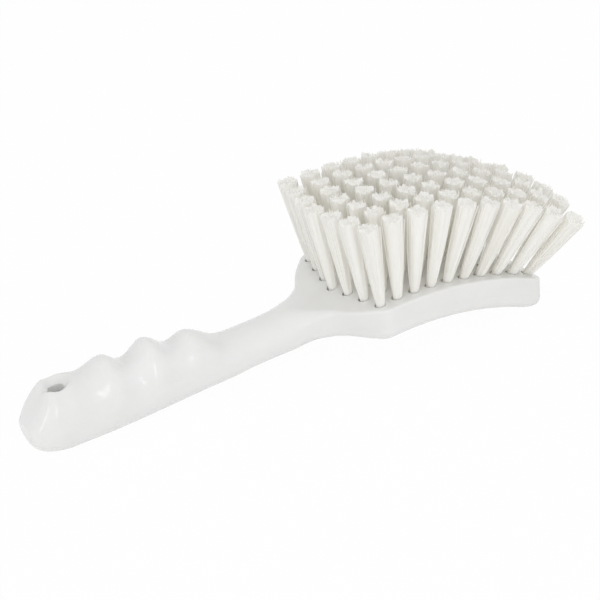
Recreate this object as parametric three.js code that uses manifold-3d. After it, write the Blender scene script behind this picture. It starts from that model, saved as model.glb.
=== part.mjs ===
// Hand brush with a one-piece moulded handle and head and seventy fanned bristle tufts.
// Each tuft is folded over a flat metal anchor that is driven into a blind drilled hole.
// Millimetres. +X runs from the handle's butt to the head's tip, +Z is the bristle side.
// The brush lies bristles up, on its butt and on the underside of its tip, at z = 0.
// While it is built, x = 0 lies at the corner tufts of the rear row.
import * as THREE from "three";
import { mergeVertices } from "three/addons/utils/BufferGeometryUtils.js";
import Module from "manifold-3d";

// ---------- driving sizes ----------
// Handle
const HANDLE_LENGTH = 172; // butt to the rear corner tufts
const PALM_TOP = 34.9; // height of the handle's back end above the table
const PALM_WIDTH = 29; // across the palm
const CREST_RISE = 3.1; // how far the middle crest stands over the back end
const LAST_CREST_DROP = 0.8; // the crest next to the neck lies this much under the back end
const GRIP_PITCH = 22.2; // finger groove to finger groove
const FIRST_GROOVE = 30.8; // butt to the first groove
const GROOVE_DEPTHS = [2.8, 6.8, 6]; // from the butt on
const GROOVE_WRAP = 0.45; // share of its depth that a groove keeps on the sides
const NECK_TOP = 25.7;
const NECK_BOTTOM = 6;
const NECK_WIDTH = 25.4;
const NECK_FLARE = 20; // how much wider each side of the neck gets inside the head
const NECK_INSET = 0.8; // the neck's root lies this far inside the head's faces
const NECK_TO_HEAD = 56; // slimmest place of the neck to the rear corner tufts
const BUTT_ROUND = 17; // length of the rounded butt
const BUTT_FLAT = 13; // width of the butt's blunt end
const BUTT_RISE = 11; // from the underside up to the blunt end
const BUTT_FACET_FOOT = 17.8; // height where the slanted end facet starts
const BUTT_FACET_SLOPE = 1.3; // rise over run of that facet
const HANG_HOLE_FROM_BUTT = 18.3;
const HANG_HOLE_RADIUS = 3.9;
const HANG_MOUTH_RADIUS = 8;
const HANG_FUNNEL_DEPTH = 9;

// Head
const HEAD_WIDTH = 82;
const HEAD_THICKNESS = 17;
const HEAD_TIP = 93; // rear corner tufts to the tip's corners
const TIP_BULGE = 3; // the tip's middle lies this much further out
const FACE_CROWN = 31.1; // height of the arched face's crown
const FACE_CROWN_X = 16;
const FACE_RADIUS = 190; // the face and the underside are concentric arcs
const SHOULDER_SWEEP = 18; // the rear edge runs forward by this from neck to corner
const SHOULDER_BULGE = 2.4; // the rear edge bows out by this on the way
const SHOULDER_CORNER = 5;
const TIP_CORNER = 7;
const FACE_EDGE_ROUND = 1.1;
const BACK_EDGE_ROUND = 5;

// Tufts
const ROWS = 7; // rows side by side
const COLUMNS = 10; // tufts in a row
const FIELD_TO_SIDE = 8; // centres of the outer rows to the head's sides
const FIELD_TO_TIP = 5; // last tuft of an outer row to the tip's corner
const REAR_CHEVRON = 7; // the middle row starts this much nearer the handle
const TIP_CHEVRON = 4;
const BRISTLE_LENGTH = 44.5;
const REAR_LEAN = -4.6; // degrees towards the tip
const TIP_LEAN = 31;
const CORNER_LEAN_DROP = 13; // the tip's corner tufts lean forward by this much less
const REAR_SPLAY = 2; // degrees outwards, outer rows
const TIP_SPLAY = 35;
const SPLAY_GROWTH = 1.5; // how late along the head the splay sets in
const HOLE_RADIUS = 2.4;
const HOLE_DEPTH = 11;
const OUTER_STRANDS = 5; // in a tuft at the edge of the field
const INNER_STRANDS = 4;
const STRAND_RADIUS_FOOT = 0.6;
const STRAND_RADIUS_TIP = 1.0;
const STRAND_CIRCLE_FOOT = 1.55;
const STRAND_CIRCLE_TIP = 3.7;

// Backing slices that carry the strands, and the anchors
const GAP = 0.35; // between pieces that touch
const SLICE_THICKNESS = 0.9;
const SLICE_MARGIN = 3.2; // slice beyond the centres of the outer tufts
const ANCHOR_LENGTH = 5.6;
const ANCHOR_HEIGHT = 2;
const ANCHOR_THICKNESS = 0.45;
const FOLD_THICKNESS = 1.1; // folded bristles under the anchor

const rowSpacing = (HEAD_WIDTH - 2 * FIELD_TO_SIDE) / (ROWS - 1);
const fieldLength = HEAD_TIP - FIELD_TO_TIP; // first to last tuft of an outer row

// ---------- materials ----------
const plastic = () => new THREE.MeshStandardMaterial({ color: 0xf0efec, roughness: 0.35, metalness: 0 });
const filament = () => new THREE.MeshStandardMaterial({ color: 0xe9e8e0, roughness: 0.5, metalness: 0 });
const steel = () => new THREE.MeshStandardMaterial({ color: 0xb9bcbf, roughness: 0.35, metalness: 1 });

// ---------- solids ----------
const wasm = await Module();
wasm.setup();

function solidOf(geometry) {
  const bare = geometry.clone();
  bare.deleteAttribute("normal");
  bare.deleteAttribute("uv");
  const merged = mergeVertices(bare, 1e-4);
  const vertProperties = new Float32Array(merged.attributes.position.array);
  const triVerts = new Uint32Array(merged.index.array);
  return new wasm.Manifold(new wasm.Mesh({ numProp: 3, vertProperties, triVerts }));
}

function geometryOf(solid) {
  const mesh = solid.getMesh();
  const geometry = new THREE.BufferGeometry();
  geometry.setAttribute("position", new THREE.BufferAttribute(mesh.vertProperties, 3));
  geometry.setIndex(new THREE.BufferAttribute(mesh.triVerts, 1));
  return geometry;
}

const joined = (solids) => solids.reduce((sum, solid) => sum.add(solid));

// Skin over closed rings of points, all with as many points, with a flat cap at each end.
function skin(rings) {
  const count = rings[0].length;
  const points = rings.flat();
  const index = [];
  for (let r = 0; r < rings.length - 1; r++) {
    for (let k = 0; k < count; k++) {
      const a = r * count + k;
      const b = r * count + ((k + 1) % count);
      index.push(a, b, a + count, b, b + count, a + count);
    }
  }
  const last = (rings.length - 1) * count;
  for (let k = 1; k < count - 1; k++) {
    index.push(0, k + 1, k);
    index.push(last, last + k, last + k + 1);
  }
  const geometry = new THREE.BufferGeometry().setFromPoints(points);
  geometry.setIndex(index);
  return geometry;
}

// A smooth curve through a few (x, value) points, read off at any x.
function profile(points) {
  const knots = points.map(([x, value]) => new THREE.Vector2(x, value));
  const steps = 400;
  const sampled = new THREE.SplineCurve(knots).getPoints(steps);
  return (x) => {
    if (x <= sampled[0].x) return sampled[0].y;
    if (x >= sampled[steps].x) return sampled[steps].y;
    const at = sampled.findIndex((point) => point.x > x);
    const [low, high] = [sampled[at - 1], sampled[at]];
    return THREE.MathUtils.mapLinear(x, low.x, high.x, low.y, high.y);
  };
}

const powered = (value, power) => Math.sign(value) * Math.abs(value) ** power;

// The smaller of two values, with the corner between them rounded.
function roundedMin(a, b, rounding) {
  const mix = THREE.MathUtils.clamp(0.5 + (b - a) / (2 * rounding), 0, 1);
  return THREE.MathUtils.lerp(b, a, mix) - rounding * mix * (1 - mix);
}

// ---------- side profile of the head ----------
const arcHeight = (x, radius) =>
  FACE_CROWN - FACE_RADIUS + Math.sqrt(radius ** 2 - (x - FACE_CROWN_X) ** 2);
const faceHeight = (x) => arcHeight(x, FACE_RADIUS);
// The back flattens out where the tip rests on the table.
const backHeight = (x) => -roundedMin(-arcHeight(x, FACE_RADIUS - HEAD_THICKNESS), 0, 2);

// ---------- handle ----------
const buttX = -HANDLE_LENGTH;
const crestX = buttX + FIRST_GROOVE + GRIP_PITCH * 1.5;
const neckX = -NECK_TO_HEAD;
const rootX = 12; // the neck ends here, inside the head

const along = (share) => THREE.MathUtils.lerp(buttX, neckX, share);
const gripEnd = along(0.87);

const crestLine = profile([
  [buttX, PALM_TOP - LAST_CREST_DROP],
  [along(0.14), PALM_TOP],
  [crestX, PALM_TOP + CREST_RISE],
  [crestX + GRIP_PITCH, PALM_TOP - LAST_CREST_DROP],
  [gripEnd, NECK_TOP + 0.5],
  [neckX, NECK_TOP],
  [neckX * 0.62, THREE.MathUtils.lerp(NECK_TOP, faceHeight(0), 0.3)],
  [neckX * 0.28, faceHeight(neckX * 0.28) - NECK_INSET],
  [rootX, faceHeight(rootX) - NECK_INSET],
]);
const underLine = profile([
  [buttX, 0],
  [along(0.2), 0],
  [along(0.42), NECK_BOTTOM * 0.1],
  [along(0.78), NECK_BOTTOM * 0.6],
  [neckX, NECK_BOTTOM],
  [neckX * 0.66, NECK_BOTTOM + 1],
  [neckX * 0.42, THREE.MathUtils.lerp(NECK_BOTTOM, backHeight(0), 0.6)],
  [neckX * 0.14, backHeight(neckX * 0.14) + NECK_INSET],
  [rootX, backHeight(rootX) + NECK_INSET],
]);
const halfWidth = profile([
  [buttX, PALM_WIDTH / 2],
  [crestX, PALM_WIDTH / 2],
  [neckX, NECK_WIDTH / 2],
  [neckX * 0.6, NECK_WIDTH / 2 + 0.5],
  [neckX * 0.46, NECK_WIDTH / 2 + NECK_FLARE * 0.09],
  [neckX * 0.34, NECK_WIDTH / 2 + NECK_FLARE * 0.28],
  [neckX * 0.21, NECK_WIDTH / 2 + NECK_FLARE * 0.6],
  [rootX, NECK_WIDTH / 2 + NECK_FLARE],
]);

function grooveDepth(x) {
  return GROOVE_DEPTHS.reduce((depth, deepest, i) => {
    const away = Math.abs(x - (buttX + FIRST_GROOVE + i * GRIP_PITCH)) / GRIP_PITCH;
    return depth + (away < 0.5 ? deepest * Math.cos(Math.PI * away) ** 2 : 0);
  }, 0);
}

const SECTION_POINTS = 24;
const BELLY_POWER = 2 / 2.3; // the underside is a little squarer than an ellipse

function handleSection(x) {
  const fromButt = x - buttX;
  const blunt = Math.max(0, 1 - fromButt / BUTT_ROUND);
  const rounding = 1 - Math.sqrt(1 - blunt ** 2);
  const facet = BUTT_FACET_FOOT + BUTT_FACET_SLOPE * fromButt;
  const top = roundedMin(crestLine(x), facet, 5);
  const bottom = underLine(x) + BUTT_RISE * rounding;
  const half = THREE.MathUtils.lerp(halfWidth(x), BUTT_FLAT / 2, rounding);
  const middle = (Math.min(top, crestLine(x)) + bottom) / 2;
  const groove = grooveDepth(x);
  return Array.from({ length: SECTION_POINTS }, (_, k) => {
    const angle = (2 * Math.PI * k) / SECTION_POINTS;
    const power = angle > Math.PI ? THREE.MathUtils.lerp(BELLY_POWER, 1, Math.sqrt(blunt)) : 1;
    const side = powered(Math.cos(angle), power);
    const rise = powered(Math.sin(angle), power);
    const wrap = THREE.MathUtils.smoothstep(Math.sin(angle), -0.8, 0.9);
    const y = side * (half - groove * GROOVE_WRAP * wrap);
    const z = middle + rise * ((top - bottom) / 2 - groove * wrap * Math.max(0, rise));
    return new THREE.Vector3(x, y, z);
  });
}

function handleSolid() {
  const stations = [];
  for (const share of [0, 0.04, 0.12, 0.26, 0.48, 0.74]) stations.push(buttX + BUTT_ROUND * share);
  const gripSteps = Math.round((gripEnd - buttX - BUTT_ROUND) / (GRIP_PITCH / 6));
  for (let i = 0; i < gripSteps; i++) {
    stations.push(THREE.MathUtils.lerp(buttX + BUTT_ROUND, gripEnd, i / gripSteps));
  }
  const neckSteps = 12;
  for (let i = 0; i <= neckSteps; i++) {
    stations.push(THREE.MathUtils.lerp(gripEnd, rootX, i / neckSteps));
  }
  return solidOf(skin(stations.map(handleSection)));
}

// A bore with a funnel on the bristle side and a broken edge underneath.
function hangHoleCutter() {
  const top = PALM_TOP + 0.2;
  const outline = [
    [0, -1],
    [HANG_HOLE_RADIUS + 2, -1],
    [HANG_HOLE_RADIUS, 1.4],
    [HANG_HOLE_RADIUS, top - HANG_FUNNEL_DEPTH],
    [THREE.MathUtils.lerp(HANG_HOLE_RADIUS, HANG_MOUTH_RADIUS, 0.3), top - HANG_FUNNEL_DEPTH * 0.42],
    [HANG_MOUTH_RADIUS, top],
    [HANG_MOUTH_RADIUS + 1.6, top + 1.6],
    [0, top + 1.6],
  ];
  const cutter = new THREE.LatheGeometry(outline.map(([r, z]) => new THREE.Vector2(r, z)), 20);
  cutter.rotateX(Math.PI / 2);
  cutter.translate(buttX + HANG_HOLE_FROM_BUTT, 0, 0);
  return solidOf(cutter);
}

// ---------- head ----------
// Half of the plan outline from the rear middle to the tip's middle, set in by an inset.
// Its rear edge bows out by a share of the shoulder's bulge.
function headHalfOutline(inset, bulgeShare) {
  const side = HEAD_WIDTH / 2;
  const cornerX = -2;
  const path = new THREE.Path();
  path.moveTo(cornerX - SHOULDER_SWEEP, 0);
  path.lineTo(cornerX - SHOULDER_SWEEP, NECK_WIDTH / 2 - 2);
  const sweep = new THREE.Vector2(SHOULDER_SWEEP, side - NECK_WIDTH / 2 + 2).normalize();
  const corner = new THREE.Vector2(cornerX, side);
  const before = corner.clone().addScaledVector(sweep, -SHOULDER_CORNER);
  const bow = path.currentPoint.clone().lerp(before, 0.5);
  bow.add(new THREE.Vector2(-sweep.y, sweep.x).multiplyScalar(2 * SHOULDER_BULGE * bulgeShare));
  path.quadraticCurveTo(bow.x, bow.y, before.x, before.y);
  path.quadraticCurveTo(corner.x, corner.y, corner.x + SHOULDER_CORNER, side);
  path.lineTo(HEAD_TIP - TIP_CORNER, side);
  path.quadraticCurveTo(HEAD_TIP, side, HEAD_TIP + TIP_BULGE * 0.12, side - TIP_CORNER);
  path.quadraticCurveTo(HEAD_TIP + TIP_BULGE, (side - TIP_CORNER) * 0.5, HEAD_TIP + TIP_BULGE, 0);
  const counts = [1, 5, 4, 10, 5, 5];
  const points = path.curves.flatMap((curve, i) => curve.getPoints(counts[i]).slice(0, -1));
  points.push(new THREE.Vector2(HEAD_TIP + TIP_BULGE, 0));
  return points.map((point, i) => {
    const back = points[Math.max(0, i - 1)];
    const ahead = points[Math.min(points.length - 1, i + 1)];
    const along = ahead.clone().sub(back).normalize();
    if (i === 0) return new THREE.Vector2(point.x + inset, 0);
    if (i === points.length - 1) return new THREE.Vector2(point.x - inset, 0);
    return new THREE.Vector2(point.x + along.y * inset, point.y - along.x * inset);
  });
}

// The head is a stack of outlines that follow the arched face above and the arched back below.
function headSolid() {
  const fillet = (radius, angle) => [radius * (1 - Math.sin(angle)), radius * (1 - Math.cos(angle))];
  const layers = [];
  for (const angle of [0, 0.35, 0.75, 1.15]) {
    const [inset, rise] = fillet(BACK_EDGE_ROUND, angle);
    layers.push({ inset, base: backHeight, offset: rise, bulge: 0 });
  }
  const round = FACE_EDGE_ROUND;
  layers.push({ inset: 0, base: backHeight, offset: BACK_EDGE_ROUND, bulge: 0.4 });
  layers.push({ inset: 0, base: faceHeight, offset: -round, bulge: 1 });
  layers.push({ inset: round * 0.3, base: faceHeight, offset: -round * 0.3, bulge: 1 });
  layers.push({ inset: round, base: faceHeight, offset: 0, bulge: 1 });

  const rings = layers.map(({ inset, base, offset, bulge }) => {
    const half = headHalfOutline(inset, bulge);
    const inner = half.slice(1, -1).reverse();
    const loop = [...half, ...inner.map((point) => new THREE.Vector2(point.x, -point.y))];
    return loop.map((point) => new THREE.Vector3(point.x, point.y, base(point.x) + offset));
  });
  const count = rings[0].length;
  const index = [];
  for (let r = 0; r < rings.length - 1; r++) {
    for (let k = 0; k < count; k++) {
      const a = r * count + k;
      const b = r * count + ((k + 1) % count);
      index.push(a, a + count, b, b, a + count, b + count);
    }
  }
  const top = (rings.length - 1) * count;
  const strips = count / 2;
  for (let k = 0; k < strips; k++) {
    const [left, leftNext] = [k, k + 1];
    const [right, rightNext] = [(count - k) % count, count - k - 1];
    if (left !== right) {
      index.push(left, leftNext, right);
      index.push(top + left, top + right, top + leftNext);
    }
    if (leftNext !== rightNext) {
      index.push(leftNext, rightNext, right);
      index.push(top + leftNext, top + right, top + rightNext);
    }
  }
  const geometry = new THREE.BufferGeometry().setFromPoints(rings.flat());
  geometry.setIndex(index);
  return solidOf(geometry);
}

// ---------- tufts ----------
// The tuft's foot on the face and its drilling axis, out of the hole.
function tuftAt(row, column) {
  const across = (row - (ROWS - 1) / 2) / ((ROWS - 1) / 2);
  const along = column / (COLUMNS - 1);
  const inward = 1 - Math.abs(across);
  const start = -REAR_CHEVRON * inward;
  const end = fieldLength + TIP_CHEVRON * inward;
  const x = THREE.MathUtils.lerp(start, end, along);
  const y = (across * rowSpacing * (ROWS - 1)) / 2;
  const late = Math.max(0, 2 * along - 1);
  const lean = THREE.MathUtils.lerp(REAR_LEAN, TIP_LEAN, along) - CORNER_LEAN_DROP * across ** 2 * late;
  const splay = across * THREE.MathUtils.lerp(REAR_SPLAY, TIP_SPLAY, along ** SPLAY_GROWTH);
  const axis = new THREE.Vector3(
    Math.tan(THREE.MathUtils.degToRad(lean)),
    Math.tan(THREE.MathUtils.degToRad(splay)),
    1,
  ).normalize();
  return { row, column, foot: new THREE.Vector3(x, y, faceHeight(x)), axis };
}

// Local frame of a tuft: z out of the hole, y along its anchor.
function tuftFrame({ foot, axis }) {
  const anchorWay = new THREE.Vector3(0, 1, 0).addScaledVector(axis, -axis.y).normalize();
  const across = new THREE.Vector3().crossVectors(anchorWay, axis);
  return new THREE.Matrix4().makeBasis(across, anchorWay, axis).setPosition(foot);
}

const tufts = [];
for (let row = 0; row < ROWS; row++) {
  for (let column = 0; column < COLUMNS; column++) tufts.push(tuftAt(row, column));
}

// A prism or a box in a tuft's frame, between two heights over the face.
function tuftPrism(tuft, radius, sides, low, high) {
  const prism = new THREE.CylinderGeometry(radius, radius, high - low, sides);
  prism.rotateX(Math.PI / 2).rotateZ(Math.PI / sides).translate(0, 0, (low + high) / 2);
  return solidOf(prism.applyMatrix4(tuftFrame(tuft)));
}

function tuftBox(tuft, thickness, length, low, high) {
  const box = new THREE.BoxGeometry(thickness, length, high - low);
  box.translate(0, 0, (low + high) / 2);
  return solidOf(box.applyMatrix4(tuftFrame(tuft)));
}

const HOLE_SIDES = 8;
const PLUG_SIDES = 4;
const holeWall = HOLE_RADIUS / Math.cos(Math.PI / HOLE_SIDES);
const plugRadius = HOLE_RADIUS - GAP;
const plugLow = -HOLE_DEPTH + GAP;
const anchorLow = plugLow + FOLD_THICKNESS + GAP;
const anchorHigh = anchorLow + ANCHOR_HEIGHT;

const holeCutter = (tuft) => tuftPrism(tuft, holeWall, HOLE_SIDES, -HOLE_DEPTH, 4);
const slitCutter = (tuft) =>
  tuftBox(tuft, ANCHOR_THICKNESS + 2 * GAP, ANCHOR_LENGTH + 2 * GAP, anchorLow - GAP, anchorHigh + GAP);
const anchorSolid = (tuft) => tuftBox(tuft, ANCHOR_THICKNESS, ANCHOR_LENGTH, anchorLow, anchorHigh);
const windowCutter = (tuft) =>
  tuftBox(tuft, ANCHOR_THICKNESS + 2 * GAP, 4 * HOLE_RADIUS, anchorLow - GAP, anchorHigh + GAP);
const plugSolid = (tuft) => tuftPrism(tuft, plugRadius, PLUG_SIDES, plugLow, 3);

// One strand of three sides, at a turn round the tuft's axis, from inside the slice to the tip.
function strandSolid(tuft, turn) {
  const frame = tuftFrame(tuft);
  const ring = (height, circle, radius) => {
    const centre = new THREE.Vector3(circle * Math.cos(turn), circle * Math.sin(turn), height);
    return [0, 1, 2].map((k) => {
      const angle = turn + (2 * Math.PI * k) / 3;
      const corner = new THREE.Vector3(radius * Math.cos(angle), radius * Math.sin(angle), 0);
      return corner.add(centre).applyMatrix4(frame);
    });
  };
  // The leaning strand's foot ends inside the slice.
  const start = new THREE.Vector3(Math.cos(turn), Math.sin(turn), 0);
  start.multiplyScalar(STRAND_CIRCLE_FOOT).applyMatrix4(frame);
  const sunk = (faceHeight(start.x) - 0.6 * SLICE_THICKNESS - start.z) / tuft.axis.z;
  const foot = ring(sunk, STRAND_CIRCLE_FOOT, STRAND_RADIUS_FOOT);
  const tip = ring(BRISTLE_LENGTH, STRAND_CIRCLE_TIP, STRAND_RADIUS_TIP);
  return solidOf(skin([foot, tip]));
}

// ---------- backing slices ----------
// A sheet that follows the arched face between two depths, as a side profile pushed across.
function archedSheet(low, high) {
  const [from, to] = [-30, HEAD_TIP + TIP_BULGE + 10];
  const steps = 10;
  const xs = Array.from({ length: steps + 1 }, (_, i) => THREE.MathUtils.lerp(from, to, i / steps));
  const side = new THREE.Shape([
    ...xs.map((x) => new THREE.Vector2(x, faceHeight(x) + low)),
    ...xs.reverse().map((x) => new THREE.Vector2(x, faceHeight(x) + high)),
  ]);
  const sheet = new THREE.ExtrudeGeometry(side, { depth: HEAD_WIDTH, bevelEnabled: false });
  sheet.rotateX(Math.PI / 2).translate(0, HEAD_WIDTH / 2, 0);
  return solidOf(sheet);
}

// A pocket-shaped prism round the tufts, between two places across the head.
function fieldPrism(margin, lowY, highY) {
  const side = (rowSpacing * (ROWS - 1)) / 2 + margin;
  const outline = new THREE.Shape([
    new THREE.Vector2(-REAR_CHEVRON - margin, 0),
    new THREE.Vector2(-margin, -side),
    new THREE.Vector2(fieldLength + margin, -side),
    new THREE.Vector2(fieldLength + TIP_CHEVRON + margin, 0),
    new THREE.Vector2(fieldLength + margin, side),
    new THREE.Vector2(-margin, side),
  ]);
  const tall = new THREE.ExtrudeGeometry(outline, { depth: 2 * FACE_CROWN, bevelEnabled: false });
  const band = new THREE.BoxGeometry(3 * HEAD_TIP, highY - lowY, 5 * FACE_CROWN);
  band.translate(HEAD_TIP / 2, (lowY + highY) / 2, 0);
  return solidOf(tall).intersect(solidOf(band));
}

const bands = [
  { name: "tufts_right", rows: [0, 1] },
  { name: "tufts_middle", rows: [2, 3, 4] },
  { name: "tufts_left", rows: [5, 6] },
];
const rowY = (row) => (row - (ROWS - 1) / 2) * rowSpacing;

// Anchors of the first and last tufts of each row are one piece with their tufts.
const hasOwnAnchor = ({ column }) => column > 0 && column < COLUMNS - 1;
const isAtEdge = (tuft) => !hasOwnAnchor(tuft) || tuft.row === 0 || tuft.row === ROWS - 1;

function bandSolid({ rows }) {
  const first = rows[0] === 0;
  const last = rows[rows.length - 1] === ROWS - 1;
  const lowY = first ? -HEAD_WIDTH / 2 : rowY(rows[0]) - rowSpacing / 2 + GAP / 2;
  const highY = last ? HEAD_WIDTH / 2 : rowY(rows[rows.length - 1]) + rowSpacing / 2 - GAP / 2;
  const slice = archedSheet(-SLICE_THICKNESS, 0).intersect(fieldPrism(SLICE_MARGIN, lowY, highY));
  const own = tufts.filter(({ row }) => rows.includes(row));
  const below = archedSheet(-2 * HOLE_DEPTH, -SLICE_THICKNESS / 2);
  const plugs = own.map((tuft) =>
    hasOwnAnchor(tuft)
      ? plugSolid(tuft).intersect(below).subtract(windowCutter(tuft))
      : plugSolid(tuft).intersect(below).add(anchorSolid(tuft)),
  );
  const strands = own.flatMap((tuft) => {
    const count = isAtEdge(tuft) ? OUTER_STRANDS : INNER_STRANDS;
    const side = rowY(tuft.row) < 0 ? -1 : 1;
    const start = Math.abs(rowY(tuft.row)) + 2 * tuft.column;
    const turns = Array.from({ length: count }, (_, i) => start + (2 * Math.PI * i) / count);
    return turns.map((turn) => strandSolid(tuft, side * turn));
  });
  return joined([slice, ...plugs, ...strands]);
}

function handleBlockSolid() {
  const field = (rowSpacing * (ROWS - 1)) / 2;
  const recess = archedSheet(-SLICE_THICKNESS - GAP, 6).intersect(
    fieldPrism(SLICE_MARGIN + GAP, -field - HEAD_WIDTH, field + HEAD_WIDTH),
  );
  const cuts = joined([recess, ...tufts.map(holeCutter), ...tufts.map(slitCutter)]);
  return handleSolid().add(headSolid()).subtract(hangHoleCutter()).subtract(cuts);
}

// ---------- assembly ----------
const group = new THREE.Group();
group.name = "bee_brush";

function addPiece(name, solid, material) {
  const mesh = new THREE.Mesh(geometryOf(solid), material);
  mesh.geometry.computeVertexNormals();
  mesh.name = name;
  group.add(mesh);
}

addPiece("handle_block", handleBlockSolid(), plastic());
for (const band of bands) addPiece(band.name, bandSolid(band), filament());
for (const tuft of tufts.filter(hasOwnAnchor)) {
  addPiece(`anchor_${tuft.row + 1}_${tuft.column + 1}`, anchorSolid(tuft), steel());
}

// The origin goes to the middle of the brush's length, on the table.
const box = new THREE.Box3().setFromObject(group);
group.position.set(-(box.min.x + box.max.x) / 2, 0, -box.min.z);

export default group;
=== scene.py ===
"""White moulded hand brush: grooved handle, arched head and seventy fanned bristle tufts.

Lengths are in millimetres until a mesh is written, which is in metres. The brush is shaped with
x = 0 at the corner tufts of the rear row, and Place moves it to where the frame has it.
"""

from __future__ import annotations

import logging
import math
from collections.abc import Iterator
from contextlib import contextmanager
from dataclasses import dataclass, field
from enum import Enum

import bpy
import numpy as np
from mathutils import Matrix, Vector

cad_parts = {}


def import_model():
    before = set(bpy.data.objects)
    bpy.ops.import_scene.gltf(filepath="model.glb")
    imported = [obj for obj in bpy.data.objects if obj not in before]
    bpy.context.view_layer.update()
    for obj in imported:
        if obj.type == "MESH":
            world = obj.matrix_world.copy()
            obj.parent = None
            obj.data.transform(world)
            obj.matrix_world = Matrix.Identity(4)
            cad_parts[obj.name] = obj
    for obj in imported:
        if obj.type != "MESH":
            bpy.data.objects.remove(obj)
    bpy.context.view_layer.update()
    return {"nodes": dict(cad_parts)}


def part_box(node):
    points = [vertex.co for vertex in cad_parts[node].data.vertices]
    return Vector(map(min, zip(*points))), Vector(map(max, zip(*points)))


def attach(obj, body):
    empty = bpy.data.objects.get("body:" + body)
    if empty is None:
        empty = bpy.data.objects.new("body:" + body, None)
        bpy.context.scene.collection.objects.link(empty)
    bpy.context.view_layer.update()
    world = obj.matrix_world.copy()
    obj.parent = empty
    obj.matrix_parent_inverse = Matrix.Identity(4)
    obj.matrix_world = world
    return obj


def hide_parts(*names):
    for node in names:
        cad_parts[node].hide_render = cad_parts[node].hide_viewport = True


Colour = tuple[float, float, float, float]
Triple = tuple[float, float, float]

LOG = logging.getLogger("brush")
MM = 0.001
BODY = "root"
MITRE = math.pi / 4
ARC_LENGTH = 0.785


class Slot(Enum):
    """The finishes that the record names."""

    MOULDING = "moulding"
    BRISTLE = "bristle"
    ANCHOR = "anchor_wire"


# ---------------------------------------------------------------- small helpers


def smoothstep(value: np.ndarray | float, low: float, high: float) -> np.ndarray:
    """Rise smoothly from 0 at low to 1 at high.

    Args:
        value: Where to read the step.
        low: The step's start.
        high: The step's end.

    Returns:
        The step's height at each value.
    """
    share = np.clip((np.asarray(value, float) - low) / (high - low), 0.0, 1.0)
    return share * share * (3.0 - 2.0 * share)


def rounded_min(first: np.ndarray, second: np.ndarray, rounding: float) -> np.ndarray:
    """Take the smaller of two values, with the corner between them rounded.

    Args:
        first: One value.
        second: The other value.
        rounding: How far from the corner the rounding starts.

    Returns:
        The smaller value.
    """
    mix = np.clip(0.5 + (second - first) / (2.0 * rounding), 0.0, 1.0)
    return second + (first - second) * mix - rounding * mix * (1.0 - mix)


def rounded_max(first: np.ndarray, second: np.ndarray, rounding: float) -> np.ndarray:
    """Take the larger of two values, with the corner between them rounded."""
    return -rounded_min(-np.asarray(first), -np.asarray(second), rounding)


def quarter_drop(distance: np.ndarray, radius: float) -> np.ndarray:
    """Give how far a rounded edge drops, at a distance from the wall that it turns into.

    Args:
        distance: Distance from the wall, at least 0.
        radius: The edge's radius.

    Returns:
        The drop, radius at the wall and 0 from one radius on.
    """
    reach = np.clip(1.0 - distance / radius, 0.0, 1.0)
    return radius * (1.0 - np.sqrt(1.0 - reach**2))


class Profile:
    """A smooth curve through a few (x, value) points, read off at any x."""

    def __init__(self, points: list[tuple[float, float]], steps: int = 60) -> None:
        """Sample the curve.

        Args:
            points: The points, in order of x.
            steps: Samples between two points.
        """
        knots = np.array([points[0], *points, points[-1]], float)
        share = np.linspace(0.0, 1.0, steps, endpoint=False)[:, None]
        spans = []
        for before, start, end, after in zip(knots, knots[1:], knots[2:], knots[3:]):
            slope_in = 0.5 * (end - before)
            slope_out = 0.5 * (after - start)
            cubic = 2.0 * start - 2.0 * end + slope_in + slope_out
            square = -3.0 * start + 3.0 * end - 2.0 * slope_in - slope_out
            spans.append(cubic * share**3 + square * share**2 + slope_in * share + start)
        self.curve = np.vstack([*spans, knots[-1:]])

    def __call__(self, x: np.ndarray | float) -> np.ndarray:
        """Read the curve at x."""
        return np.interp(x, self.curve[:, 0], self.curve[:, 1])


def deselect() -> None:
    """Deselect everything, in object mode."""
    if bpy.context.object and bpy.context.object.mode != "OBJECT":
        bpy.ops.object.mode_set(mode="OBJECT")
    bpy.ops.object.select_all(action="DESELECT")


def make_active(piece: bpy.types.Object) -> None:
    """Select one object alone and make it the active one."""
    deselect()
    piece.select_set(True)
    bpy.context.view_layer.objects.active = piece


@contextmanager
def edit_mode() -> Iterator[None]:
    """Edit the active mesh, then go back to Object Mode."""
    bpy.ops.object.mode_set(mode="EDIT")
    yield
    bpy.ops.object.mode_set(mode="OBJECT")


def apply_modifier(piece: bpy.types.Object, kind: str, **settings: object) -> None:
    """Add a modifier with settings and apply it.

    Args:
        piece: The object that gets it.
        kind: The modifier's type.
        **settings: Values for the modifier's properties.
    """
    make_active(piece)
    modifier = piece.modifiers.new(kind.title(), kind)
    for name, value in settings.items():
        setattr(modifier, name, value)
    bpy.ops.object.modifier_apply(modifier=modifier.name)


def copy_in_line(piece: bpy.types.Object, count: int) -> None:
    """Repeat a piece's mesh inside itself, so that its points come block by block."""
    apply_modifier(
        piece, "ARRAY", count=count, use_relative_offset=False, use_constant_offset=True,
        constant_offset_displace=(3.0, 0.0, 0.0),
    )


def read_points(piece: bpy.types.Object) -> np.ndarray:
    """Give a mesh's vertices as rows of x, y, z."""
    flat = np.empty(len(piece.data.vertices) * 3)
    piece.data.vertices.foreach_get("co", flat)
    return flat.reshape(-1, 3)


def write_points(piece: bpy.types.Object, points: np.ndarray) -> None:
    """Move a mesh's vertices to rows of x, y, z."""
    piece.data.vertices.foreach_set("co", np.ascontiguousarray(points, float).ravel())
    piece.data.update()


def remove(piece: bpy.types.Object) -> None:
    """Delete an object that has done its work."""
    bpy.data.objects.remove(piece, do_unlink=True)


# ---------------------------------------------------------------- sizes


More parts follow.
